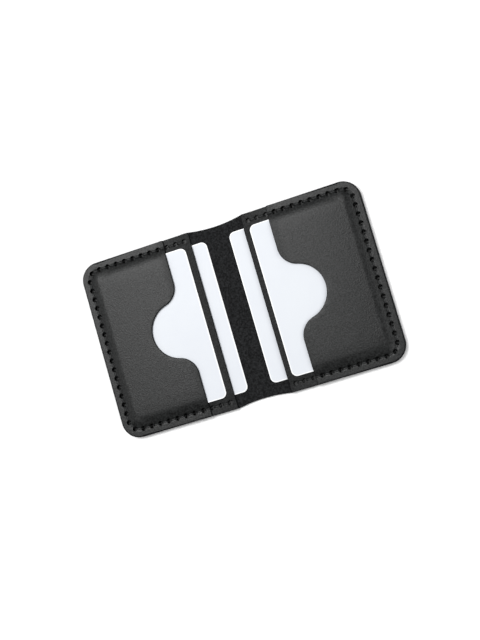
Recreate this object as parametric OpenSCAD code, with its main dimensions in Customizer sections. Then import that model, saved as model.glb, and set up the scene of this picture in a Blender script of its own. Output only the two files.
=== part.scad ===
// A bifold leather card holder, lying open and flat with its pockets up.
// Millimetres. X runs across the two panels, Y along the spine, Z up from the table.
// The origin is on the table, under the middle of the spine. Sub-parts of a panel are
// drawn for the right-hand side, and the left-hand ones are their mirror image.

/* [Cover] */
// Width of the open card holder, across both panels
open_w = 163; // [160:0.5:168]
// Height of the panels, along the spine
panel_h = 101; // [100:0.5:106]
// Radius of the four outer corners
corner_r = 10; // [8:0.5:12]
// Thickness of the cover leather
cover_t = 1.4; // [1.2:0.1:1.8]
// How far the cover's edge curves in at the middle of the spine
waist_dip = 1.5; // [0.5:0.25:2]

/* [Pockets] */
// Thickness of the pocket leather
pocket_t = 1.1; // [0.9:0.1:1.3]
// Thickness of a pocket's wall, where the leather is moulded down beside the cards
wall_t = 0.8; // [0.6:0.1:0.8]
// Distance from the spine's middle to the rear pocket's mouth
rear_mouth_x = 15.3; // [14:0.1:18]
// Distance from the spine's middle to the rear pocket's floor, where its leather meets the cover
rear_floor_x = 62.3; // [62:0.1:64]
// Distance from the spine's middle to the front pocket's mouth
front_mouth_x = 30.3; // [28:0.1:32]
// Distance from the spine's middle to the front pocket's floor
front_floor_x = 74.3; // [74:0.1:74.5]
// Depth that a pocket leaves for its card
card_room = 1.0; // [0.9:0.05:1.1]

/* [Thumb notch] */
// Radius of the round bottom of the notch
notch_r = 15.5; // [14:0.5:17]
// Distance from the spine's middle to the notch's centre
notch_x = 34.5; // [33:0.5:36]
// Radius that eases the mouth into the notch
shoulder_r = 11; // [9:0.5:12]

/* [Cards] */
// Long side of a card
card_l = 85.6; // [85.4:0.1:85.7]
// Short side of a card
card_w = 54; // [53.9:0.02:54.1]
// Thickness of a card
card_t = 0.76; // [0.68:0.04:0.84]
// Radius of a card's corners
card_r = 3.2; // [2.8:0.1:3.5]
// Distance from the spine's middle to the left rear card
rear_card_left_x = 7.2; // [6:0.1:8]
// Distance from the spine's middle to the right rear card
rear_card_right_x = 6.2; // [6:0.1:8]
// Distance from the spine's middle to the left front card
front_card_left_x = 19.1; // [18.5:0.1:20]
// Distance from the spine's middle to the right front card
front_card_right_x = 18.6; // [18.5:0.1:20]

/* [Stitching] */
// Distance from the outer edge to the line of stitches
stitch_inset = 4.4; // [4.3:0.1:4.5]
// Distance from one stitch hole to the next, as near as the line divides evenly
stitch_pitch = 5.08; // [4.5:0.02:6]
// Distance from the spine's middle to the first stitch hole
first_stitch_x = 18.9; // [18.5:0.1:19.2]
// Diameter of a punched stitch hole
hole_d = 2.0; // [1.6:0.1:2.0]
// Width of the waxed thread, which lies flat
thread_w = 0.9; // [0.7:0.1:0.9]
// Height of the flattened thread
thread_t = 0.4; // [0.3:0.05:0.5]

/* [Hidden] */
$fn = 48;

leather_colour = "#3a3d3c";
spine_colour = "#242526";
thread_colour = "#161718";
card_colour = "#eef2f8";

// Levels of the layers, from the table up
rear_card_z = cover_t + 0.1;
rear_flange_z = cover_t;
rear_sheet_z = cover_t + card_room;
front_flange_z = rear_flange_z + pocket_t;
front_card_z = rear_sheet_z + pocket_t + 0.1;
front_sheet_z = rear_sheet_z + pocket_t + card_room;
front_top_z = front_flange_z + pocket_t;
stack_top_z = front_sheet_z + pocket_t;

// The moulded areas over the cards, measured to each side of the panel's middle
card_play = 0.2;
slot_half = card_l / 2 + card_play;
rear_rise_half = slot_half + wall_t;
front_rise_half = rear_rise_half + wall_t;

// The cover folds on two lines in its inner face, a quarter turn at each. The spine between
// them is as wide as the two closed stacks of leather and cards, with a little clearance.
closed_clearance = 0.4;
spine_w = 2 * (stack_top_z - cover_t) + closed_clearance;
fold_gap = 0.06;

// The spine's edge is an arc that runs from one rear pocket to the other
waist_r = (pow(rear_mouth_x, 2) + pow(waist_dip, 2)) / (2 * waist_dip);

// The line of stitches follows the panel's edge, from the spine round both corners
row_y = panel_h / 2 - stitch_inset;
column_x = open_w / 2 - stitch_inset;
turn_r = corner_r - stitch_inset;
row_l = column_x - turn_r - first_stitch_x;
turn_l = turn_r * PI / 2;
column_l = 2 * (row_y - turn_r);
line_l = 2 * (row_l + turn_l) + column_l;
stitches = round(line_l / stitch_pitch);
groove_w = thread_w + 0.2;
groove_t = thread_t + 0.2;
thread_low_z = 0.1;
through = 0.5;

// A point of the line of stitches, s millimetres from its upper end. The lower half mirrors it.
function on_row(s) = [first_stitch_x + s, row_y];
function on_turn(s) =
  let (a = s / turn_r * 180 / PI)
  [column_x - turn_r + turn_r * sin(a), row_y - turn_r + turn_r * cos(a)];
function on_column(s) = [column_x, row_y - turn_r - s];
function stitch_point(s) =
  s > line_l / 2 ? let (p = stitch_point(line_l - s)) [p.x, -p.y]
  : s < row_l ? on_row(s)
  : s < row_l + turn_l ? on_turn(s - row_l)
  : on_column(s - row_l - turn_l);

hole_points = [for (k = [0 : stitches]) stitch_point(k * line_l / stitches)];

function length_of(v) = sqrt(v * v);
function arc(centre, r, from, to, steps) =
  [for (k = [0 : steps]) let (a = from + (to - from) * k / steps) centre + r * [cos(a), sin(a)]];

// A panel's outline from inner_x to the outer edge, with its two outer corners rounded
module panel_outline(inner_x) {
  outer_x = open_w / 2;
  translate([inner_x, -panel_h / 2])
    square([outer_x - corner_r - inner_x, panel_h]);
  translate([inner_x, corner_r - panel_h / 2])
    square([outer_x - inner_x, panel_h - 2 * corner_r]);
  for (side = [-1, 1])
    translate([outer_x - corner_r, side * (panel_h / 2 - corner_r)])
      circle(corner_r);
}

// What the waist takes off the cover at both ends of the spine
module waist_cut() {
  for (side = [-1, 1])
    translate([0, side * (panel_h / 2 - waist_dip + waist_r), -through])
      cylinder(r = waist_r, h = cover_t + 2 * through, $fn = 200);
}

module stitch_holes(from_x) {
  for (p = hole_points)
    if (p.x > from_x)
      translate([p.x, p.y, -through])
        cylinder(d = hole_d, h = stack_top_z + 2 * through, $fn = 32);
}

// A bar from one stitch hole to the next, with its ends past both hole centres
module stitch_bar(k, width, z, height) {
  from = hole_points[k];
  along = hole_points[k + 1] - from;
  translate([from.x, from.y, z])
    rotate([0, 0, atan2(along.y, along.x)])
      translate([-width / 2, -width / 2, 0])
        cube([length_of(along) + width, width, height]);
}

module cover() {
  color(leather_colour)
    difference() {
      linear_extrude(cover_t) panel_outline(spine_w / 2 + fold_gap / 2);
      waist_cut();
      stitch_holes(0);
      for (k = [0 : stitches - 1])
        stitch_bar(k, groove_w, -through, through + groove_t);
    }
}

module cover_spine() {
  color(spine_colour)
    difference() {
      translate([fold_gap / 2 - spine_w / 2, -panel_h / 2, 0])
        cube([spine_w - fold_gap, panel_h, cover_t]);
      waist_cut();
    }
}

// The leather of a pocket: its flange lies flat under the stitches, and its middle is moulded
// up over the card, from the mouth to the pocket's floor
module pocket_leather(mouth_x, floor_x, flange_z, sheet_z, rise_half) {
  difference() {
    union() {
      translate([0, 0, flange_z])
        linear_extrude(pocket_t) panel_outline(mouth_x);
      translate([mouth_x, -rise_half, flange_z])
        cube([floor_x + wall_t - mouth_x, 2 * rise_half, sheet_z + pocket_t - flange_z]);
    }
    translate([mouth_x - 1, wall_t - rise_half, flange_z - 1])
      cube([floor_x - mouth_x + 1, 2 * (rise_half - wall_t), sheet_z - flange_z + 1]);
    stitch_holes(mouth_x);
  }
}

module rear_pocket() {
  color(leather_colour)
    pocket_leather(rear_mouth_x, rear_floor_x, rear_flange_z, rear_sheet_z, rear_rise_half);
}

// The notch's outline: a round bottom that meets the mouth through two shoulders
module thumb_notch() {
  shoulder_x = front_mouth_x + shoulder_r;
  shoulder_y = sqrt(pow(notch_r + shoulder_r, 2) - pow(shoulder_x - notch_x, 2));
  lean = atan2(shoulder_y, shoulder_x - notch_x);
  upper_shoulder = arc([shoulder_x, shoulder_y], shoulder_r, 180, 180 + lean, 12);
  bottom = arc([notch_x, 0], notch_r, lean, -lean, 28);
  lower_shoulder = arc([shoulder_x, -shoulder_y], shoulder_r, 180 - lean, 180, 12);
  clear_x = front_mouth_x - 1;
  polygon(concat([[clear_x, shoulder_y]], upper_shoulder, bottom, lower_shoulder,
                 [[clear_x, -shoulder_y]]));
}

module front_pocket() {
  color(leather_colour)
    difference() {
      pocket_leather(front_mouth_x, front_floor_x, front_flange_z, front_sheet_z,
                     front_rise_half);
      translate([0, 0, front_sheet_z - through])
        linear_extrude(pocket_t + 2 * through) thumb_notch();
    }
}

// A card whose edge towards the spine is at edge_x
module card(edge_x, z) {
  color(card_colour)
    translate([edge_x, -card_l / 2, z])
      linear_extrude(card_t) {
        translate([card_r, 0]) square([card_w - 2 * card_r, card_l]);
        translate([0, card_r]) square([card_w, card_l - 2 * card_r]);
        for (x = [card_r, card_w - card_r], y = [card_r, card_l - card_r])
          translate([x, y]) circle(card_r);
      }
}

function flange_top(p) = p.x > front_mouth_x ? front_top_z : front_flange_z;

// One saddle-stitched thread: a leg down each hole, and a flat stitch between neighbours on
// both faces. The stitch that crosses the front pocket's edge climbs it.
module thread() {
  color(thread_colour)
    union() {
      for (p = hole_points)
        translate([p.x, p.y, thread_low_z])
          cylinder(d = thread_w - 0.1, h = flange_top(p) + thread_t - thread_low_z, $fn = 24);
      for (k = [0 : stitches - 1]) {
        low = min(flange_top(hole_points[k]), flange_top(hole_points[k + 1]));
        high = max(flange_top(hole_points[k]), flange_top(hole_points[k + 1]));
        stitch_bar(k, thread_w, thread_low_z, thread_t);
        stitch_bar(k, thread_w, high, thread_t);
        if (low < high) {
          outer = min(hole_points[k].x, hole_points[k + 1].x);
          translate([outer - thread_w / 2, hole_points[k].y - thread_w / 2, low])
            cube([front_mouth_x - 0.1 - outer + thread_w / 2, thread_w, high - low + thread_t]);
        }
      }
    }
}

module left_hand() {
  mirror([1, 0, 0]) children();
}

left_hand() cover();  // cover_left
cover_spine();
cover();  // cover_right
left_hand() rear_pocket();  // rear_pocket_left
rear_pocket();  // rear_pocket_right
left_hand() front_pocket();  // front_pocket_left
front_pocket();  // front_pocket_right
left_hand() card(rear_card_left_x, rear_card_z);  // rear_card_left
card(rear_card_right_x, rear_card_z);  // rear_card_right
left_hand() card(front_card_left_x, front_card_z);  // front_card_left
card(front_card_right_x, front_card_z);  // front_card_right
left_hand() thread();  // thread_left
thread();  // thread_right
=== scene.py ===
# %% [markdown]
# # A bifold card holder in black leather
# The object is an open card holder: one leather cover that folds along its spine, two stacked
# pockets on each panel, a saddle-stitched edge, and four plain cards. Every size comes from the
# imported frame, which holds the same parts as plain solids. This lesson makes the leather, the
# thread and the cards again with the softness and finish of real ones.

# %% Load the frame
import bpy, bmesh, math, random
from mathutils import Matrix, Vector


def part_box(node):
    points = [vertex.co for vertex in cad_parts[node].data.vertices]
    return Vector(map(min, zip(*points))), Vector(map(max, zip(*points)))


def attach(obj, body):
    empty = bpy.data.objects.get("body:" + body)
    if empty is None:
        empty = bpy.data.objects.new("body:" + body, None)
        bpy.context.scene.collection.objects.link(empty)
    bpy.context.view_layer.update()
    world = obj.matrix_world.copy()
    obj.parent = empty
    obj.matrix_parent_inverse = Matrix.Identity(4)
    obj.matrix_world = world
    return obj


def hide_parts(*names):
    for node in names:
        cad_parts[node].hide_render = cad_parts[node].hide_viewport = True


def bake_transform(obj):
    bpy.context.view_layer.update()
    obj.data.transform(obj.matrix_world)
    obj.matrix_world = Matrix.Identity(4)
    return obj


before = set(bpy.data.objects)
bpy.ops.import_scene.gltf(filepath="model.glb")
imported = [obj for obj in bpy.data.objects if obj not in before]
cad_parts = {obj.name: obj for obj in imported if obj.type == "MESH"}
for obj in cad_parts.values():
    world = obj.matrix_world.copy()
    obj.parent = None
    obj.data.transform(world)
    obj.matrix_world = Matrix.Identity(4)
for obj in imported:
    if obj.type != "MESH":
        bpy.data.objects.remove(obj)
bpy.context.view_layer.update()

# %% [markdown]
# ## Sizes
# The frame gives each part's lowest and highest corner. The thickness of the leather follows
# from where one layer starts and the next one lies on it, so nothing is measured twice. The
# right-hand parts are made first, and the left-hand ones are their mirror image. A face counts
# as flat when the upward part of its normal is over FLAT, and as belonging to the upper or the
# lower side when that part is over FACING. Two places are the same when they are within NEAR.

# %% Sizes
MM = 0.001
cover_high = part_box("cover_right")[1]
rear_low, rear_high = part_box("rear_pocket_right")
front_low, front_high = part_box("front_pocket_right")
thread_low, thread_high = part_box("thread_right")

HALF_WIDTH = cover_high[0]
HALF_HEIGHT = cover_high[1]
COVER_TOP = cover_high[2]
REAR_FLANGE_TOP = front_low[2]
POCKET_LEATHER = REAR_FLANGE_TOP - rear_low[2]
FRONT_FLANGE_TOP = front_low[2] + POCKET_LEATHER
REAR_MOUTH, FRONT_MOUTH = rear_low[0], front_low[0]
CORNER_RADIUS = 10 * MM
FLAT, FACING = 0.99, 0.1
NEAR = 1e-6
print("open size in mm:", [round(2 * v / MM, 1) for v in (HALF_WIDTH, HALF_HEIGHT)])
print("cover, rear flange and front flange tops in mm:",
      [round(v / MM, 2) for v in (COVER_TOP, REAR_FLANGE_TOP, FRONT_FLANGE_TOP)])

# %% [markdown]
# ## Working by hand, in code
# Modelling by hand is a loop of four moves: pick something, enter edit mode, apply an operator,
# leave. These helpers are that loop. An operator acts on everything that is selected, so each
# helper clears the selection first and then picks by place or by normal.

# %% Helpers for modelling
def clear_selection():
    if bpy.context.mode != "OBJECT":
        bpy.ops.object.mode_set(mode="OBJECT")
    bpy.ops.object.select_all(action="DESELECT")


def make_active(piece):
    clear_selection()
    piece.select_set(True)
    bpy.context.view_layer.objects.active = piece


def start_block(name, low, high):
    """A block that fills the box from low to high, with its origin at the world's origin."""
    clear_selection()
    bpy.ops.mesh.primitive_cube_add(size=1, location=[(a + b) / 2 for a, b in zip(low, high)])
    block = bpy.context.object
    block.name = block.data.name = name
    block.scale = [b - a for a, b in zip(low, high)]
    bpy.ops.object.transform_apply(location=True, rotation=True, scale=True)
    return block


def start_cylinder(name, centre, radius, low_z, high_z, sides):
    clear_selection()
    bpy.ops.mesh.primitive_cylinder_add(
        vertices=sides, radius=radius, depth=high_z - low_z,
        location=(centre[0], centre[1], (low_z + high_z) / 2))
    cylinder = bpy.context.object
    cylinder.name = name
    bpy.ops.object.transform_apply(location=True, rotation=True, scale=True)
    return cylinder


def edit(piece):
    make_active(piece)
    bpy.ops.object.mode_set(mode="EDIT")
    bpy.ops.mesh.reveal(select=False)
    bpy.ops.mesh.select_all(action="DESELECT")


def pick(piece, kind, rule):
    """Select the vertices, edges or faces that follow the rule. kind is VERT, EDGE or FACE."""
    bpy.ops.mesh.select_mode(type=kind)
    bpy.ops.mesh.select_all(action="DESELECT")
    shape = bmesh.from_edit_mesh(piece.data)
    shape.normal_update()
    elements = {"VERT": shape.verts, "EDGE": shape.edges, "FACE": shape.faces}[kind]
    for element in elements:
        if not element.hide and rule(element):
            element.select_set(True)
    shape.select_flush_mode()
    bmesh.update_edit_mesh(piece.data)


def done():
    bpy.ops.mesh.reveal(select=False)
    bpy.ops.object.mode_set(mode="OBJECT")


def bevel(width, segments):
    """Round the selected edges."""
    bpy.ops.mesh.bevel(offset=width, segments=segments, affect="EDGES", clamp_overlap=False)


def turn_outwards(merge_distance=None):
    """Point all faces of the mesh in edit mode outwards, after merging what lies together."""
    bpy.ops.mesh.select_all(action="SELECT")
    if merge_distance:
        bpy.ops.mesh.remove_doubles(threshold=merge_distance)
    bpy.ops.mesh.normals_make_consistent(inside=False)


def shade_smooth(piece, angle):
    """Shade the piece smooth, with sharp edges where it bends by more than the angle."""
    make_active(piece)
    bpy.ops.object.shade_smooth_by_angle(angle=math.radians(angle))


def apply_modifier(piece, kind, **settings):
    make_active(piece)
    bpy.ops.object.modifier_add(type=kind)
    modifier = piece.modifiers[-1]
    for name, value in settings.items():
        setattr(modifier, name, value)
    bpy.ops.object.modifier_apply(modifier=modifier.name)


def cut_away(piece, cutter):
    """Take the cutter's shape out of the piece. The new walls get the cutter's material."""
    apply_modifier(piece, "BOOLEAN", operation="DIFFERENCE", solver="EXACT",
                   material_mode="TRANSFER", object=cutter)
    bpy.data.objects.remove(cutter)


def join(name, pieces):
    clear_selection()
    for piece in pieces:
        piece.select_set(True)
    bpy.context.view_layer.objects.active = pieces[0]
    bpy.ops.object.join()
    joined = bpy.context.object
    joined.name = joined.data.name = name
    bpy.ops.object.transform_apply(location=True, rotation=True, scale=True)
    return joined


print("modelling helpers ready")

# %% [markdown]
# ## The camera
# The card holder is seen from above, from a little to its right and below, and turned
# anticlockwise in the view. A long lens keeps its opposite edges nearly parallel.

# %% Camera
CAMERA_PLACE = (0.1219, -0.0631, 0.5910)
CAMERA_TURN = (2.0, 12.86, -16.57)
FOCAL_LENGTH, SENSOR_WIDTH = 62.4, 36

bpy.ops.object.camera_add(location=CAMERA_PLACE,
                          rotation=[math.radians(angle) for angle in CAMERA_TURN])
camera = bpy.context.object
camera.name = "camera"
camera.data.lens = FOCAL_LENGTH
camera.data.sensor_width = SENSOR_WIDTH
bpy.context.scene.camera = camera
print("camera at", [round(v, 3) for v in camera.location])

# %% [markdown]
# ## Materials
# Each material is a small graph of nodes. Patterns read Object coordinates, which are metres
# from the origin, so a scale of 1000 gives patches about 1 mm across. Real leather is never
# even: the dye is a little deeper in places, the grain catches light, and the cut edges are
# sealed with a dark, dull paint.

# %% Helpers for materials
def new_material(name, colour, roughness, **sockets):
    material = bpy.data.materials.new(name)
    material.use_nodes = True
    shader = shader_of(material)
    shader.inputs["Base Color"].default_value = (*colour, 1)
    shader.inputs["Roughness"].default_value = roughness
    for socket, value in sockets.items():
        shader.inputs[socket.replace("_", " ")].default_value = value
    return material


def shader_of(material):
    return material.node_tree.nodes["Principled BSDF"]


def add_node(material, kind, **settings):
    node = material.node_tree.nodes.new(kind)
    for name, value in settings.items():
        if name in node.inputs:
            node.inputs[name].default_value = value
        else:
            setattr(node, name, value)
    return node


def link(material, start, socket, end, into):
    material.node_tree.links.new(start.outputs[socket], end.inputs[into])


def noise(material, size, detail=2.0, roughness=0.5):
    """Cloudy noise whose patches are about as wide as size, in metres."""
    place = add_node(material, "ShaderNodeTexCoord")
    pattern = add_node(material, "ShaderNodeTexNoise", Scale=1 / size, Detail=detail,
                       Roughness=roughness)
    link(material, place, "Object", pattern, "Vector")
    return pattern


def tint(material, pattern, dark, light, low=0.35, high=0.65):
    """Colour the shader from dark to light, as the pattern goes from low to high."""
    ramp = add_node(material, "ShaderNodeValToRGB")
    ramp.color_ramp.elements[0].position = low
    ramp.color_ramp.elements[0].color = (*dark, 1)
    ramp.color_ramp.elements[1].position = high
    ramp.color_ramp.elements[1].color = (*light, 1)
    link(material, pattern, 0, ramp, "Fac")
    link(material, ramp, "Color", shader_of(material), "Base Color")


def vary_roughness(material, pattern, smooth, rough):
    spread = add_node(material, "ShaderNodeMapRange")
    spread.inputs["To Min"].default_value = smooth
    spread.inputs["To Max"].default_value = rough
    link(material, pattern, 0, spread, "Value")
    link(material, spread, "Result", shader_of(material), "Roughness")


def relief(material, pattern, height, strength=1.0, under=None):
    """Raise the surface by the pattern, by up to height in metres, on top of another relief."""
    bump = add_node(material, "ShaderNodeBump", Strength=strength, Distance=height)
    link(material, pattern, 0, bump, "Height")
    if under:
        link(material, under, "Normal", bump, "Normal")
    link(material, bump, "Normal", shader_of(material), "Normal")
    return bump


print("material helpers ready")

# %% [markdown]
# ### Grain leather
# The outside of the hide is smooth and semi-matte. The dye itself is almost black, and the grey
# that the eye sees is the soft reflection of the light, so a slope that turns away from the
# light goes dark at once. The surface has a very fine pebble, made here by Voronoi cells, over
# a softer unevenness, and the dye varies in fine speckles.

# %% Grain leather
SPECKLE_SIZE = 0.9 * MM
GLOSS_PATCH = 0.8 * MM
GLOSSY, MATTE = 0.29, 0.53
WAVE_SIZE, WAVE_HEIGHT = 8 * MM, 0.05 * MM
PEBBLE_SIZE, PEBBLE_HEIGHT = 0.65 * MM, 0.07 * MM
DEEP_DYE = (0.001, 0.0013, 0.0013)
COVER_DYE = (0.012, 0.013, 0.013)
POCKET_DYE = (0.014, 0.015, 0.015)


def grain_leather(name, dark, light):
    leather = new_material(name, light, 0.4, Specular_IOR_Level=0.25)
    speckle = noise(leather, SPECKLE_SIZE, detail=3.0, roughness=0.7)
    tint(leather, speckle, dark, light, 0.42, 0.58)
    vary_roughness(leather, noise(leather, GLOSS_PATCH, detail=3.0), GLOSSY, MATTE)
    soft = relief(leather, noise(leather, WAVE_SIZE), WAVE_HEIGHT, 0.3)
    place = add_node(leather, "ShaderNodeTexCoord")
    pebble = add_node(leather, "ShaderNodeTexVoronoi", Scale=1 / PEBBLE_SIZE, Randomness=1.0)
    pebble.feature = "F1"
    link(leather, place, "Object", pebble, "Vector")
    relief(leather, pebble, PEBBLE_HEIGHT, 0.8, under=soft)
    return leather


cover_leather = grain_leather("cover_grain_leather", DEEP_DYE, COVER_DYE)
print("grain leather:", cover_leather.name)

# %% [markdown]
# The mouth of a pocket is rubbed dull by the cards and by thumbs. A node chain measures how far
# a point is from the mouth, and adds roughness there. The front pockets need only a little of
# it, and the narrow strips of the rear pockets are dull all over.

# %% Pocket leather, dull at the mouth
def pocket_leather(name, mouth, width, added):
    """Grain leather that is rougher by added at the mouth, and not at all past the width."""
    leather = grain_leather(name, DEEP_DYE, POCKET_DYE)
    place = add_node(leather, "ShaderNodeTexCoord")
    apart = add_node(leather, "ShaderNodeSeparateXYZ")
    link(leather, place, "Object", apart, "Vector")
    from_middle = add_node(leather, "ShaderNodeMath", operation="ABSOLUTE")
    link(leather, apart, "X", from_middle, 0)
    dullness = add_node(leather, "ShaderNodeMapRange")
    for socket, value in (("From Min", mouth), ("From Max", mouth + width),
                          ("To Min", added), ("To Max", 0)):
        dullness.inputs[socket].default_value = value
    link(leather, from_middle, "Value", dullness, "Value")
    shader = shader_of(leather)
    total = add_node(leather, "ShaderNodeMath", operation="ADD")
    leather.node_tree.links.new(shader.inputs["Roughness"].links[0].from_socket, total.inputs[0])
    link(leather, dullness, "Result", total, 1)
    link(leather, total, "Value", shader, "Roughness")
    return leather


front_leather = pocket_leather("front_pocket_leather", FRONT_MOUTH, width=5 * MM, added=0.09)
rear_leather = pocket_leather("rear_pocket_leather", REAR_MOUTH, width=30 * MM, added=0.30)
print("pocket leathers:", front_leather.name, rear_leather.name)

# %% [markdown]
# ### Flesh side and edge paint
# Inside the spine the flesh side of the hide shows: a napped, duller and darker surface. Cut
# edges are painted black, which fills the fibres and leaves an even, dull rim. The same black
# lines the stitch holes, partly as the dark cut leather and partly as painted shade in the pits.

# %% Flesh side and edge paint
flesh_side = new_material("leather_flesh_side", (0.02, 0.021, 0.022), 0.85,
                          Specular_IOR_Level=0.15)
nap = noise(flesh_side, 1.1 * MM, detail=6.0, roughness=0.8)
tint(flesh_side, nap, (0.001, 0.0011, 0.0013), (0.018, 0.019, 0.020), 0.42, 0.62)
relief(flesh_side, noise(flesh_side, 0.5 * MM, detail=4.0), 0.2 * MM, 0.9,
       under=relief(flesh_side, noise(flesh_side, 3 * MM), 0.25 * MM, 0.6))

# This near-black also lines the stitch holes, where it is partly painted shade in the pits.
edge_paint_and_pit_shade = new_material("edge_paint_and_pit_shade", (0.003, 0.0035, 0.004), 0.5, Specular_IOR_Level=0.07)
brushed = noise(edge_paint_and_pit_shade, 1.2 * MM, detail=3.0)
tint(edge_paint_and_pit_shade, brushed, (0.002, 0.0022, 0.0025), (0.005, 0.0055, 0.006))
vary_roughness(edge_paint_and_pit_shade, brushed, 0.42, 0.6)
relief(edge_paint_and_pit_shade, brushed, 0.05 * MM, 0.5)
print("leather sides:", flesh_side.name, edge_paint_and_pit_shade.name)

# %% [markdown]
# ### Thread and cards
# The waxed thread is a shade darker than the leather and takes small highlights where it
# bends. The cards are white plastic with a faintly blue face and a soft sheen, and their
# rims are painted whiter than the face, as a painted highlight along the edges.

# %% Thread and cards
waxed_thread = new_material("waxed_linen_thread", (0.01, 0.011, 0.012), 0.48,
                            Specular_IOR_Level=0.3)
fibres = noise(waxed_thread, 0.25 * MM, detail=3.0)
tint(waxed_thread, fibres, (0.004, 0.0045, 0.005), (0.013, 0.014, 0.014))
relief(waxed_thread, fibres, 0.04 * MM, 0.7)

card_plastic = new_material("white_card_plastic", (0.6, 0.63, 0.66), 0.42,
                            Specular_IOR_Level=0.3)
haze = noise(card_plastic, 22 * MM)
tint(card_plastic, haze, (0.580, 0.602, 0.640), (0.593, 0.617, 0.650), 0.3, 0.7)
vary_roughness(card_plastic, noise(card_plastic, 5 * MM), 0.38, 0.46)
relief(card_plastic, noise(card_plastic, 0.3 * MM), 0.004 * MM, 0.4)

# The rim material is a painted highlight: whiter than the face, along the card's edges.
card_rim_highlight = new_material("painted_highlight_card_edge", (0.82, 0.83, 0.84), 0.4)
tint(card_rim_highlight, noise(card_rim_highlight, 3 * MM), (0.80, 0.81, 0.82), (0.83, 0.84, 0.85))
vary_roughness(card_rim_highlight, noise(card_rim_highlight, 3 * MM), 0.36, 0.44)
print("thread and cards:", waxed_thread.name, card_plastic.name, card_rim_highlight.name)

# %% [markdown]
# ## The line of stitches
# The holes follow the panel's outer edge at an even spacing, round both corners. The frame's
# thread gives the line's place: its box starts half a thread outside the line. A list of
# points along it serves the holes, the groove and the thread.

# %% The line of stitches
THREAD_WIDTH = 0.9 * MM
HOLE_RADIUS = 1.42 * MM
STITCH_PITCH = 5.08 * MM
column_x = thread_high[0] - THREAD_WIDTH / 2
row_y = thread_high[1] - THREAD_WIDTH / 2
first_x = thread_low[0] + THREAD_WIDTH / 2
turn_radius = CORNER_RADIUS - (HALF_WIDTH - column_x)
row_length = column_x - turn_radius - first_x
turn_length = turn_radius * math.pi / 2
line_length = 2 * (row_length + turn_length + row_y - turn_radius)
STITCHES = round(line_length / STITCH_PITCH)


def stitch_point(s):
    """The point of the line that is s metres from its upper end."""
    if s > line_length / 2:
        x, y = stitch_point(line_length - s)
        return x, -y
    if s < row_length:
        return first_x + s, row_y
    if s < row_length + turn_length:
        angle = (s - row_length) / turn_radius
        return (column_x - turn_radius + turn_radius * math.sin(angle),
                row_y - turn_radius + turn_radius * math.cos(angle))
    return column_x, row_y - turn_radius - (s - row_length - turn_length)


def distance_to_line(x, y):
    """How far a point is from the line of stitches."""
    y = abs(y)
    corner_x, corner_y = column_x - turn_radius, row_y - turn_radius
    if x > corner_x and y > corner_y:
        return abs(math.hypot(x - corner_x, y - corner_y) - turn_radius)
    if x < first_x:
        return math.hypot(x - first_x, y - row_y)
    to_row = abs(y - row_y) if x <= corner_x else math.inf
    to_column = abs(x - column_x) if y <= corner_y else math.inf
    return min(to_row, to_column)


holes = [stitch_point(k * line_length / STITCHES) for k in range(STITCHES + 1)]
print(len(holes), "holes,", round(line_length / STITCHES / MM, 2), "mm apart")

# %% [markdown]
# ## A sheet of leather
# Each layer starts as a block as thick as the leather. Its corners are rounded, its rims are
# softened, and the painted edge gets its material while the block is still flat and the rim is
# easy to pick. Then straight cuts are laid across it, close together where the leather will
# bend, so that there is something to bend.

# %% Helpers for leather
def corner_edges(x, reach_y):
    """A rule for the upright edges at one x and at both ends in y."""
    def rule(edge):
        a, b = (v.co for v in edge.verts)
        upright = abs(a.x - b.x) < NEAR and abs(a.y - b.y) < NEAR
        return upright and abs(a.x - x) < 10 * NEAR and abs(abs(a.y) - reach_y) < 10 * NEAR
    return rule


def round_corners(piece, x, radius, segments):
    edit(piece)
    pick(piece, "EDGE", corner_edges(x, HALF_HEIGHT))
    bevel(radius, segments)
    done()


def rim_edges(level):
    """A rule for the edges where the flat face at one level meets the side walls."""
    def rule(edge):
        flat = [f for f in edge.link_faces if abs(f.normal.z) > FLAT]
        return len(flat) == 1 and all(abs(v.co.z - level) < NEAR for v in edge.verts)
    return rule


def outside_edge(rule):
    """Only those edges of a rule that lie on the outline, and not along a mouth."""
    def outside(edge):
        return rule(edge) and all(
            abs(v.co.y) > HALF_HEIGHT - NEAR or v.co.x > HALF_WIDTH - CORNER_RADIUS
            for v in edge.verts)
    return outside


def soften_rims(piece, top, bottom, outline_radius, mouth_radius, bottom_radius):
    edit(piece)
    pick(piece, "EDGE", outside_edge(rim_edges(top)))
    bevel(outline_radius, 6)
    pick(piece, "EDGE", rim_edges(top))
    bevel(mouth_radius, 4)
    pick(piece, "EDGE", rim_edges(bottom))
    bevel(bottom_radius, 2)
    done()


def give_materials(piece, materials, rules):
    """The first material goes all over, and each next one goes on the faces of its rule."""
    piece.data.materials.clear()
    for material in materials:
        piece.data.materials.append(material)
    edit(piece)
    for slot, rule in enumerate(rules, start=1):
        pick(piece, "FACE", rule)
        piece.active_material_index = slot
        bpy.ops.object.material_slot_assign()
    done()


def steps(low, high, step):
    count = max(1, round((high - low) / step))
    return [low + (high - low) * k / count for k in range(count + 1)]


def cut_lines(piece, xs, ys):
    """Cut straight across the piece at each x and at each y."""
    edit(piece)
    for axis, places in ((0, xs), (1, ys)):
        normal = [1 if k == axis else 0 for k in range(3)]
        for place in places:
            bpy.ops.mesh.select_all(action="SELECT")
            bpy.ops.mesh.bisect(plane_co=[place * n for n in normal], plane_no=normal,
                                threshold=NEAR)
    done()


def inside_rounded(x_limit, y_limit, radius):
    """A rule for what lies inside a rectangle with rounded outer corners, open to the spine."""
    def rule(vertex):
        dx = vertex.co.x - (x_limit - radius)
        dy = abs(vertex.co.y) - (y_limit - radius)
        if dx > 0 and dy > 0:
            return math.hypot(dx, dy) <= radius
        return dx <= radius and dy <= radius
    return rule


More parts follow.
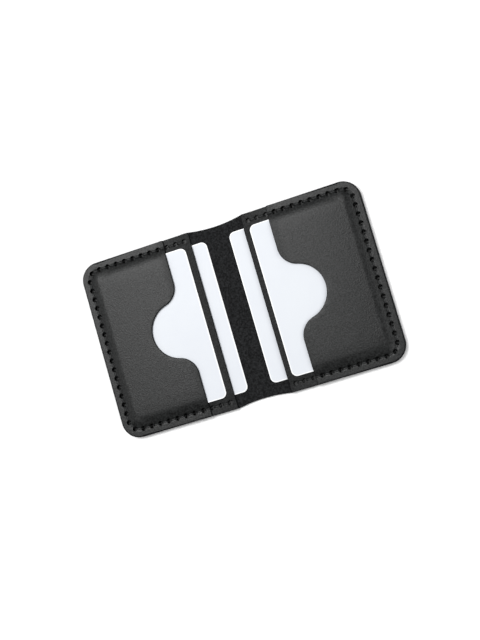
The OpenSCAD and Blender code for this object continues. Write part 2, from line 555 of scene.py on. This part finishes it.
def pull(height, reach, falloff="SMOOTH"):
    """Move what is selected up, and let its surroundings follow within reach."""
    bpy.ops.transform.translate(
        value=(0, 0, height), use_proportional_edit=True, proportional_edit_falloff=falloff,
        proportional_size=reach, use_proportional_connected=False)


print("leather helpers ready")

# %% [markdown]
# ## The front pocket
# The front pocket is one sheet with a thumb notch in its mouth: a round bottom that flows into
# the mouth through two shoulders. The notch's cutter is made from simple shapes, a disc and a
# block with a disc taken off each side, just as the outline reads.

# %% The notch's cutter
NOTCH_RADIUS = 15.5 * MM
NOTCH_X = 34.5 * MM
SHOULDER_RADIUS = 11 * MM
ROUND_SIDES = 96
CLEAR = 1 * MM

shoulder_x = FRONT_MOUTH + SHOULDER_RADIUS
shoulder_y = math.sqrt((NOTCH_RADIUS + SHOULDER_RADIUS) ** 2 - (shoulder_x - NOTCH_X) ** 2)
touch_x = NOTCH_X + (shoulder_x - NOTCH_X) * NOTCH_RADIUS / (NOTCH_RADIUS + SHOULDER_RADIUS)
cutter_low, cutter_high = front_low[2] - CLEAR, FRONT_FLANGE_TOP + CLEAR


def make_notch_cutter():
    mouth = start_block("notch_mouth", (FRONT_MOUTH - CLEAR, -shoulder_y, cutter_low),
                        (touch_x, shoulder_y, cutter_high))
    for side in (-1, 1):
        cut_away(mouth, start_cylinder("shoulder", (shoulder_x, side * shoulder_y),
                                       SHOULDER_RADIUS, cutter_low - CLEAR,
                                       cutter_high + CLEAR, ROUND_SIDES))
    disc = start_cylinder("notch_disc", (NOTCH_X, 0), NOTCH_RADIUS, cutter_low, cutter_high,
                          ROUND_SIDES)
    apply_modifier(mouth, "BOOLEAN", operation="UNION", solver="EXACT", object=disc)
    bpy.data.objects.remove(disc)
    return mouth


# %% The front pocket
OUTLINE_SOFTNESS, MOUTH_SOFTNESS, BOTTOM_SOFTNESS = 0.75 * MM, 0.3 * MM, 0.12 * MM
MOUTH_CORNER = 0.7 * MM


def make_pocket_sheet(name, leather, mouth_x, low_z, notch=None):
    """A flat pocket sheet with rounded outer corners, soft rims and painted edges."""
    top_z = low_z + POCKET_LEATHER
    sheet = start_block(name, (mouth_x, -HALF_HEIGHT, low_z), (HALF_WIDTH, HALF_HEIGHT, top_z))
    round_corners(sheet, HALF_WIDTH, CORNER_RADIUS, 20)
    round_corners(sheet, mouth_x, MOUTH_CORNER, 3)
    if notch:
        cut_away(sheet, notch)
        edit(sheet)
        bpy.ops.mesh.select_all(action="SELECT")
        bpy.ops.mesh.remove_doubles(threshold=10 * NEAR)
        bpy.ops.mesh.dissolve_limited(angle_limit=math.radians(0.5))
        done()
    soften_rims(sheet, top_z, low_z, OUTLINE_SOFTNESS, MOUTH_SOFTNESS, BOTTOM_SOFTNESS)
    give_materials(sheet, [leather, edge_paint_and_pit_shade], [lambda f: abs(f.normal.z) < FLAT])
    return sheet


front_pocket = make_pocket_sheet("front_pocket_right_leather", front_leather, FRONT_MOUTH,
                                 front_low[2], make_notch_cutter())
print("front pocket sheet:", len(front_pocket.data.polygons), "faces")

# %% [markdown]
# ### Moulding the pocket over its card
# A moulded pocket is pressed over its cards while it is damp. It is flat along the stitches and
# climbs beside the cards, steeply at first and then less and less. Proportional editing with
# the inverse square falloff has just this profile: the middle is lifted, and the leather around
# it follows. The upper and the lower face are lifted one after the other, with the other one
# hidden, because the leather is pared thin where it bends over the ends of the cards.
#
# Away from the stitches the pocket has a low crown, long towards the outer end and short
# towards the sides. Proportional editing reaches equally far in every direction, so the sheet
# is squeezed along X while the crown is raised, and stretched back afterwards. The shoulders
# beside the cards use the same trick the other way round.

# %% Measures of the moulding
FINE = 0.4 * MM
RIM_MARGIN = 1.2 * MM
SLOT_X, SLOT_Y = 74.35 * MM, 43.06 * MM
SLOT_CORNER = 3 * MM
SLOT_SLOPE = 2.4 * MM
SHOULDER_X, SHOULDER_Y = 71.2 * MM, 39.3 * MM
SHOULDER_SLOPE = 6.3 * MM
SHOULDER_STRETCH = 1.26
CROWN = 0.55 * MM
CROWN_X, CROWN_Y = 50.5 * MM, 33 * MM
CROWN_SLOPE = 12.6 * MM
CROWN_SQUEEZE = 0.5
CEILING_SPARE = 0.1 * MM
GROOVE_DEPTH, GROOVE_REACH = 0.3 * MM, 0.9 * MM
FRONT_FINE_X = 66 * MM
COARSE_END_Y, FINE_START_Y = 35 * MM, 36.8 * MM
COARSE_STEP_X, COARSE_STEP_Y = 3.5 * MM, 2 * MM
print("front slot ends at x, y in mm:", round(SLOT_X / MM, 2), round(SLOT_Y / MM, 2))

# %% [markdown]
# Two places matter for each pull: where the lifted part ends, and how far its surroundings
# follow. SLOT is the hollow for the card under the pocket, SHOULDER the raised part above it,
# and CROWN the low swelling on top. The mesh lines are close together only where the leather
# bends.

# %% Helpers for moulding
def hide(piece, rule):
    pick(piece, "FACE", rule)
    bpy.ops.mesh.hide(unselected=False)


def mould_lines(mouth_x, first_fine_x):
    """The places in x and in y of the cuts across a pocket."""
    coarse_xs = steps(mouth_x + 2 * MM, first_fine_x - 2 * MM, COARSE_STEP_X)
    fine_xs = steps(first_fine_x, HALF_WIDTH - RIM_MARGIN, FINE)
    coarse_ys = steps(-COARSE_END_Y, COARSE_END_Y, COARSE_STEP_Y)
    fine_ys = steps(FINE_START_Y, HALF_HEIGHT - RIM_MARGIN, FINE)
    return coarse_xs + fine_xs, [-y for y in fine_ys] + coarse_ys + fine_ys


def sink_stitch_line(piece, side, depth, reach):
    """Press a groove along the stitches into the upper (1) or lower (-1) face."""
    edit(piece)
    hide(piece, lambda f: f.normal.z * side < FACING)
    pick(piece, "VERT", lambda v: distance_to_line(v.co.x, v.co.y) < FINE * 0.55)
    pull(-side * depth, reach)
    done()


def stretch_x(factor):
    bpy.ops.mesh.select_all(action="SELECT")
    bpy.ops.transform.resize(value=(factor, 1, 1), center_override=(0, 0, 0))


def lift_stretched(piece, factor, limit_x, limit_y, rise, slope):
    """Lift a rectangle of the upper face while the piece is stretched along X."""
    stretch_x(factor)
    pick(piece, "VERT", inside_rounded(limit_x * factor, limit_y, 0))
    pull(rise, slope, "INVERSE_SQUARE")
    stretch_x(1 / factor)


def mould(piece, rise, shoulder_x, crown):
    """Lift the upper face of a pocket over the ends of its card."""
    edit(piece)
    hide(piece, lambda f: f.normal.z < FACING)
    lift_stretched(piece, SHOULDER_STRETCH, shoulder_x, SHOULDER_Y, rise - crown,
                   SHOULDER_SLOPE)
    if crown:
        lift_stretched(piece, CROWN_SQUEEZE, CROWN_X, CROWN_Y, crown, CROWN_SLOPE)
    done()


def hollow(piece, rise, slot_x):
    """Lift the lower face of a pocket, so that it clears its card."""
    edit(piece)
    hide(piece, lambda f: f.normal.z > -FACING)
    pick(piece, "VERT", inside_rounded(slot_x, SLOT_Y, SLOT_CORNER))
    pull(rise, SLOT_SLOPE)
    done()


print("moulding helpers ready")

# %% Mould the front pocket
front_rise = front_high[2] - FRONT_FLANGE_TOP
cut_lines(front_pocket, *mould_lines(FRONT_MOUTH, FRONT_FINE_X))
mould(front_pocket, front_rise, SHOULDER_X, CROWN)
hollow(front_pocket, front_rise - CEILING_SPARE, SLOT_X)
sink_stitch_line(front_pocket, 1, GROOVE_DEPTH, GROOVE_REACH)
print("front pocket top in mm:", round(max(v.co.z for v in front_pocket.data.vertices) / MM, 2))

# %% [markdown]
# ## The rear pocket
# The rear pocket is the same kind of sheet, one layer lower, with a straight mouth nearer the
# spine. Its card is shorter in reach, so it is moulded up only as far as its own floor, and the
# rest of it lies flat under the front card.

# %% The rear pocket
REAR_FINE_X = 61 * MM
REAR_SHOULDER_X = 60 * MM
REAR_SLOT_X = 62.3 * MM

rear_pocket = make_pocket_sheet("rear_pocket_right_leather", rear_leather, REAR_MOUTH,
                                rear_low[2])
cut_lines(rear_pocket, *mould_lines(REAR_MOUTH, REAR_FINE_X))
rear_rise = rear_high[2] - REAR_FLANGE_TOP
mould(rear_pocket, rear_rise, REAR_SHOULDER_X, 0)
hollow(rear_pocket, rear_rise, REAR_SLOT_X)
sink_stitch_line(rear_pocket, 1, GROOVE_DEPTH, GROOVE_REACH)
print("rear pocket top in mm:", round(max(v.co.z for v in rear_pocket.data.vertices) / MM, 2))

# %% [markdown]
# ## The cover
# The cover is one sheet across both panels. It is made in two halves that meet in the middle
# of the spine, because a piece can bend between two bodies only. Each half is cut across every
# 0.4 mm near the spine, which gives the leather enough lines to bend on. The spine's edges
# curve in a little, as they do where a thumb has pressed them.

# %% The cover's right half
WAIST = 1.5 * MM
WAIST_SIDES = 400
OUTER_SOFTNESS, INNER_SOFTNESS = 0.35 * MM, 0.15 * MM
COVER_GROOVE_DEPTH, COVER_GROOVE_REACH = 0.55 * MM, 0.95 * MM
GROOVE_MARGIN = 1.6 * MM
BEND_LINES_END = 10 * MM
COVER_STEP = 4 * MM
waist_radius = (REAR_MOUTH ** 2 + WAIST ** 2) / (2 * WAIST)

cover = start_block("cover_right_leather", (0, -HALF_HEIGHT, 0),
                    (HALF_WIDTH, HALF_HEIGHT, COVER_TOP))
round_corners(cover, HALF_WIDTH, CORNER_RADIUS, 20)
for side in (-1, 1):
    centre = (0, side * (HALF_HEIGHT - WAIST + waist_radius))
    cut_away(cover, start_cylinder("waist", centre, waist_radius, -CLEAR, COVER_TOP + CLEAR,
                                   WAIST_SIDES))


def off_seam(rule):
    """Only those edges of a rule that don't lie on the seam in the middle."""
    return lambda edge: rule(edge) and max(v.co.x for v in edge.verts) > NEAR


edit(cover)
pick(cover, "EDGE", off_seam(rim_edges(0)))
bevel(OUTER_SOFTNESS, 4)
pick(cover, "EDGE", off_seam(rim_edges(COVER_TOP)))
bevel(INNER_SOFTNESS, 2)
done()
give_materials(cover, [cover_leather, flesh_side, edge_paint_and_pit_shade],
               [lambda f: f.normal.z > FLAT, lambda f: abs(f.normal.z) < FLAT])
fine_ys = steps(row_y - GROOVE_MARGIN, row_y + GROOVE_MARGIN, FINE)
fine_xs = steps(column_x - turn_radius, column_x + GROOVE_MARGIN, FINE)
turn_ys = steps(row_y - turn_radius, row_y - 2 * MM, FINE)
bend_xs = steps(FINE, BEND_LINES_END, FINE)
coarse_xs = steps(12 * MM, 68 * MM, COVER_STEP)
coarse_ys = steps(-38 * MM, 38 * MM, COVER_STEP)
cut_lines(cover, bend_xs + coarse_xs + fine_xs,
          [-y for y in fine_ys + turn_ys] + coarse_ys + turn_ys + fine_ys)
sink_stitch_line(cover, -1, COVER_GROOVE_DEPTH, COVER_GROOVE_REACH)
print("cover half:", len(cover.data.polygons), "faces")

# %% [markdown]
# ## Punching the stitch holes
# On a bench the glued layers are punched together in one go, so every hole goes straight
# through. Here the same set of pins, a pin for each hole, is taken out of each layer in turn,
# and the walls of the holes get the near-black edge paint, partly as the dark cut leather and
# partly as painted shade that darkens the pits.

# %% Punch the holes
PIN_SIDES = 20
CRISP_ANGLE, SOFT_ANGLE = 32, 60


def make_punch():
    pins = [start_cylinder("pin", hole, HOLE_RADIUS, -CLEAR, front_high[2] + CLEAR, PIN_SIDES)
            for hole in holes]
    punch = join("punch", pins)
    # The pins carry the near-black onto the hole walls: partly dark cut leather, partly painted
    # shade in the pits.
    punch.data.materials.append(edge_paint_and_pit_shade)
    return punch


for layer in (cover, rear_pocket, front_pocket):
    cut_away(layer, make_punch())
    shade_smooth(layer, CRISP_ANGLE)
    print(layer.name, "punched:", len(layer.data.polygons), "faces")

# %% [markdown]
# ## The thread
# Saddle stitching leaves a stitch between every two holes on both faces. One stitch is a short
# thick curve: it comes up out of a hole, lies flattened in the groove, and dives into the next
# hole. It is modelled once for the flat, once for the step up onto the front pocket, and the
# copies are laid along the line. Deep inside each hole the two ends of the thread cross and
# fill it, which a short plug stands for. A stitch's side outline is in millimetres from its
# middle and from the face it lies on, and leg is where it dives.

# %% One stitch
THREAD_HALF_HEIGHT = 0.28 * MM
FLATTEN = 1.65
leg = (line_length / STITCHES / 2 - HOLE_RADIUS) / MM

flat_half = [(0, -0.14), (0.6, -0.14), (1.0, -0.16), (leg - 0.2, -0.3),
             (leg, -0.7), (leg + 0.4, -1.2), (leg + 0.75, -1.9)]
flat_stitch = [(-x, z) for x, z in reversed(flat_half[1:])] + flat_half
climbing_half = [(0.02 - leg, -2.5), (0.02 - leg, -1.5), (0.02 - leg, -0.6),
                 (0.2 - leg, 0.1), (0.75 - leg, 0.2), (-0.5, -0.06)]
climbing_stitch = climbing_half + flat_half[1:]


def make_stitch(name, outline):
    """A stitch along X, from its side outline of (x, z) points in millimetres."""
    clear_selection()
    bpy.ops.curve.primitive_nurbs_path_add()
    path = bpy.context.object
    path.name = name
    spline = path.data.splines[0]
    spline.points.add(len(outline) - len(spline.points))
    for point, (x, z) in zip(spline.points, outline):
        point.co = (x * MM, 0, z * MM, 1)
    spline.order_u = 3
    spline.use_endpoint_u = True
    path.data.resolution_u = 2
    path.data.bevel_depth = THREAD_HALF_HEIGHT
    path.data.bevel_resolution = 2
    path.data.use_fill_caps = True
    bpy.ops.object.transform_apply(location=True, rotation=True, scale=True)
    bpy.ops.object.convert(target="MESH")
    stitch = bpy.context.object
    stitch.scale = (1, FLATTEN, 1)
    bpy.ops.object.transform_apply(location=False, rotation=False, scale=True)
    edit(stitch)
    turn_outwards(merge_distance=NEAR)
    done()
    return stitch


patterns = {"flat": make_stitch("stitch_flat", flat_stitch),
            "climbing": make_stitch("stitch_climbing", climbing_stitch)}
print("faces in one stitch:", len(patterns["flat"].data.polygons))

# %% Lay the thread
UNDER_FACE = 0.14 * MM
PLUG_LOW, PLUG_HIGH = 0.25 * MM, 0.9 * MM
PLUG_GAP = 0.02 * MM
PLUG_SIDES = 12
SWAY = 1.5
random.seed(11)


def lay_stitch(pattern, start, end, z, upside_down=False):
    """Copy a stitch so that it runs from one hole to the next."""
    make_active(pattern)
    bpy.ops.object.duplicate(linked=False)
    stitch = bpy.context.object
    heading = math.atan2(end[1] - start[1], end[0] - start[0])
    stitch.location = ((start[0] + end[0]) / 2, (start[1] + end[1]) / 2, z)
    sway = math.radians(random.uniform(-SWAY, SWAY))
    stitch.rotation_euler = (math.pi if upside_down else 0, 0, heading + sway)
    return stitch


stitches = []
for start, end in zip(holes, holes[1:]):
    inner, outer = sorted((start, end), key=lambda hole: hole[0])
    if outer[0] < FRONT_MOUTH:
        stitches.append(lay_stitch(patterns["flat"], start, end, REAR_FLANGE_TOP))
    elif inner[0] < FRONT_MOUTH:
        stitches.append(lay_stitch(patterns["climbing"], inner, outer, FRONT_FLANGE_TOP))
    else:
        stitches.append(lay_stitch(patterns["flat"], start, end, FRONT_FLANGE_TOP))
    stitches.append(lay_stitch(patterns["flat"], start, end, UNDER_FACE, upside_down=True))
for hole in holes:
    stitches.append(start_cylinder("crossing", hole, HOLE_RADIUS - PLUG_GAP, PLUG_LOW, PLUG_HIGH,
                                   PLUG_SIDES))
thread = join("thread_right_stitches", stitches)
thread.data.materials.append(waxed_thread)
shade_smooth(thread, SOFT_ANGLE)
for pattern in patterns.values():
    bpy.data.objects.remove(pattern)
print("thread:", len(stitches), "stitches and plugs,", len(thread.data.polygons), "faces")

# %% [markdown]
# ## The cards
# A card is a thin plate with round corners and barely softened edges. Each one is made at its
# full size where the frame has it, pushed into its pocket by a different amount. An inset near
# the outline gives the narrow rim its own faces. The rim's painted highlight, a whiter material,
# goes on all that isn't flat and on what is smaller than SMALLEST_CARD_FACE, in square metres, so
# not on the wide faces.

# %% The cards
CARD_CORNER, CARD_SOFTNESS = 3.2 * MM, 0.12 * MM
HIGHLIGHT_RIM_WIDTH = 0.4 * MM
SMALLEST_CARD_FACE = 0.001


def make_card(name, node):
    low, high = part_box(node)
    card = start_block(name, low, high)
    edit(card)
    pick(card, "EDGE", lambda e: abs(e.verts[0].co.z - e.verts[1].co.z) > (high[2] - low[2]) / 2)
    bevel(CARD_CORNER, 12)
    pick(card, "EDGE", lambda e: sum(abs(f.normal.z) > FLAT for f in e.link_faces) == 1)
    bevel(CARD_SOFTNESS, 3)
    pick(card, "FACE", lambda f: f.normal.z > FLAT)
    bpy.ops.mesh.inset(thickness=HIGHLIGHT_RIM_WIDTH)
    done()
    # The whiter rim material goes on as a painted highlight along the edges and a narrow band of
    # the face.
    give_materials(card, [card_plastic, card_rim_highlight],
                   [lambda f: abs(f.normal.z) < FLAT or f.calc_area() < SMALLEST_CARD_FACE])
    shade_smooth(card, CRISP_ANGLE)
    return card


cards = {node: make_card(node + "_plate", node)
         for node in ("rear_card_left", "rear_card_right", "front_card_left", "front_card_right")}
print("cards:", sorted(cards))

# %% [markdown]
# ## The left-hand side
# The left panel mirrors the right one. A mirrored mesh is turned inside out, so its normals
# are worked out again.

# %% Mirror the right-hand pieces
def mirror_to_left(piece):
    make_active(piece)
    bpy.ops.object.duplicate(linked=False)
    copy = bpy.context.object
    copy.name = copy.data.name = piece.name.replace("_right", "_left")
    copy.scale = (-1, 1, 1)
    bpy.ops.object.transform_apply(location=True, rotation=True, scale=True)
    edit(copy)
    turn_outwards()
    done()
    return copy


panels = {"right": {"cover": cover, "rear_pocket": rear_pocket, "front_pocket": front_pocket,
                    "thread": thread}}
panels["left"] = {part: mirror_to_left(piece) for part, piece in panels["right"].items()}
print("left-hand pieces:", [piece.name for piece in panels["left"].values()])

# %% [markdown]
# ## What moves with what
# The pockets and the thread ride on their panel, and each card rides on its own body. Each
# half of the cover keeps its place in the world and rides on no body.

for side, sign in (("left", -1), ("right", 1)):
    parts, panel = panels[side], side + "_panel"
    for part, slot in (("rear_pocket", "pocket_leather"), ("front_pocket", "pocket_leather"),
                       ("thread", "waxed_thread")):
        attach(parts[part], panel)
        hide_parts(f"{part}_{side}")
    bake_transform(parts["cover"])
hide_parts("cover_left", "cover_spine")
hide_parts("cover_right")
for node, card in cards.items():
    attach(card, node)
    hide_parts(node)
print("joined:", len(cards) + sum(len(parts) for parts in panels.values()), "pieces")

# %% [markdown]
# ## Floor and light
# A plain white floor and four soft lights make a studio table. The large key stands high behind
# the left panel, and a wide fill faces it. Black leather shows little but reflections, so a small
# light low on each side is there for the outer slopes of the pockets alone, which would go black
# without it. A dim white surround lifts the rest.

# %% Floor and light
FLOOR_GAP = 0.05 * MM
SURROUND_STRENGTH = 0.22

clear_selection()
bpy.ops.mesh.primitive_grid_add(x_subdivisions=4, y_subdivisions=4, size=6,
                                location=(0, 0, -FLOOR_GAP))
floor = bpy.context.object
floor.name = "studio_floor"
bpy.ops.object.transform_apply(location=True, rotation=True, scale=True)
white_paper = new_material("studio_paper", (0.93, 0.93, 0.93), 0.9)
tint(white_paper, noise(white_paper, 0.3), (0.925, 0.925, 0.925), (0.935, 0.935, 0.935))
floor.data.materials.append(white_paper)


def add_softbox(name, place, size, power):
    """A soft rectangular light that faces the world's origin."""
    bpy.ops.object.light_add(type="AREA", location=place)
    softbox = bpy.context.object
    softbox.name = name
    softbox.data.shape = "RECTANGLE"
    softbox.data.size, softbox.data.size_y = size
    softbox.data.energy = power
    x, y, z = place
    softbox.rotation_euler = (math.atan2(math.hypot(x, y), z), 0, math.atan2(-y, -x) - math.pi / 2)


add_softbox("key_softbox", (-0.30, 0.42, 1.15), (0.75, 0.6), power=15.5)
add_softbox("fill_softbox", (0.9, -0.7, 1.0), (1.0, 1.0), power=8)
add_softbox("right_softbox", (1.0, 0.15, 0.55), (0.5, 0.5), power=3)
add_softbox("left_softbox", (-1.0, 0.15, 0.55), (0.5, 0.5), power=1.4)

world = bpy.data.worlds.new("white_surround")
bpy.context.scene.world = world
world.use_nodes = True
surround = world.node_tree.nodes["Background"]
surround.inputs["Color"].default_value = (1, 1, 1, 1)
surround.inputs["Strength"].default_value = SURROUND_STRENGTH
bpy.context.scene.view_settings.view_transform = "Standard"
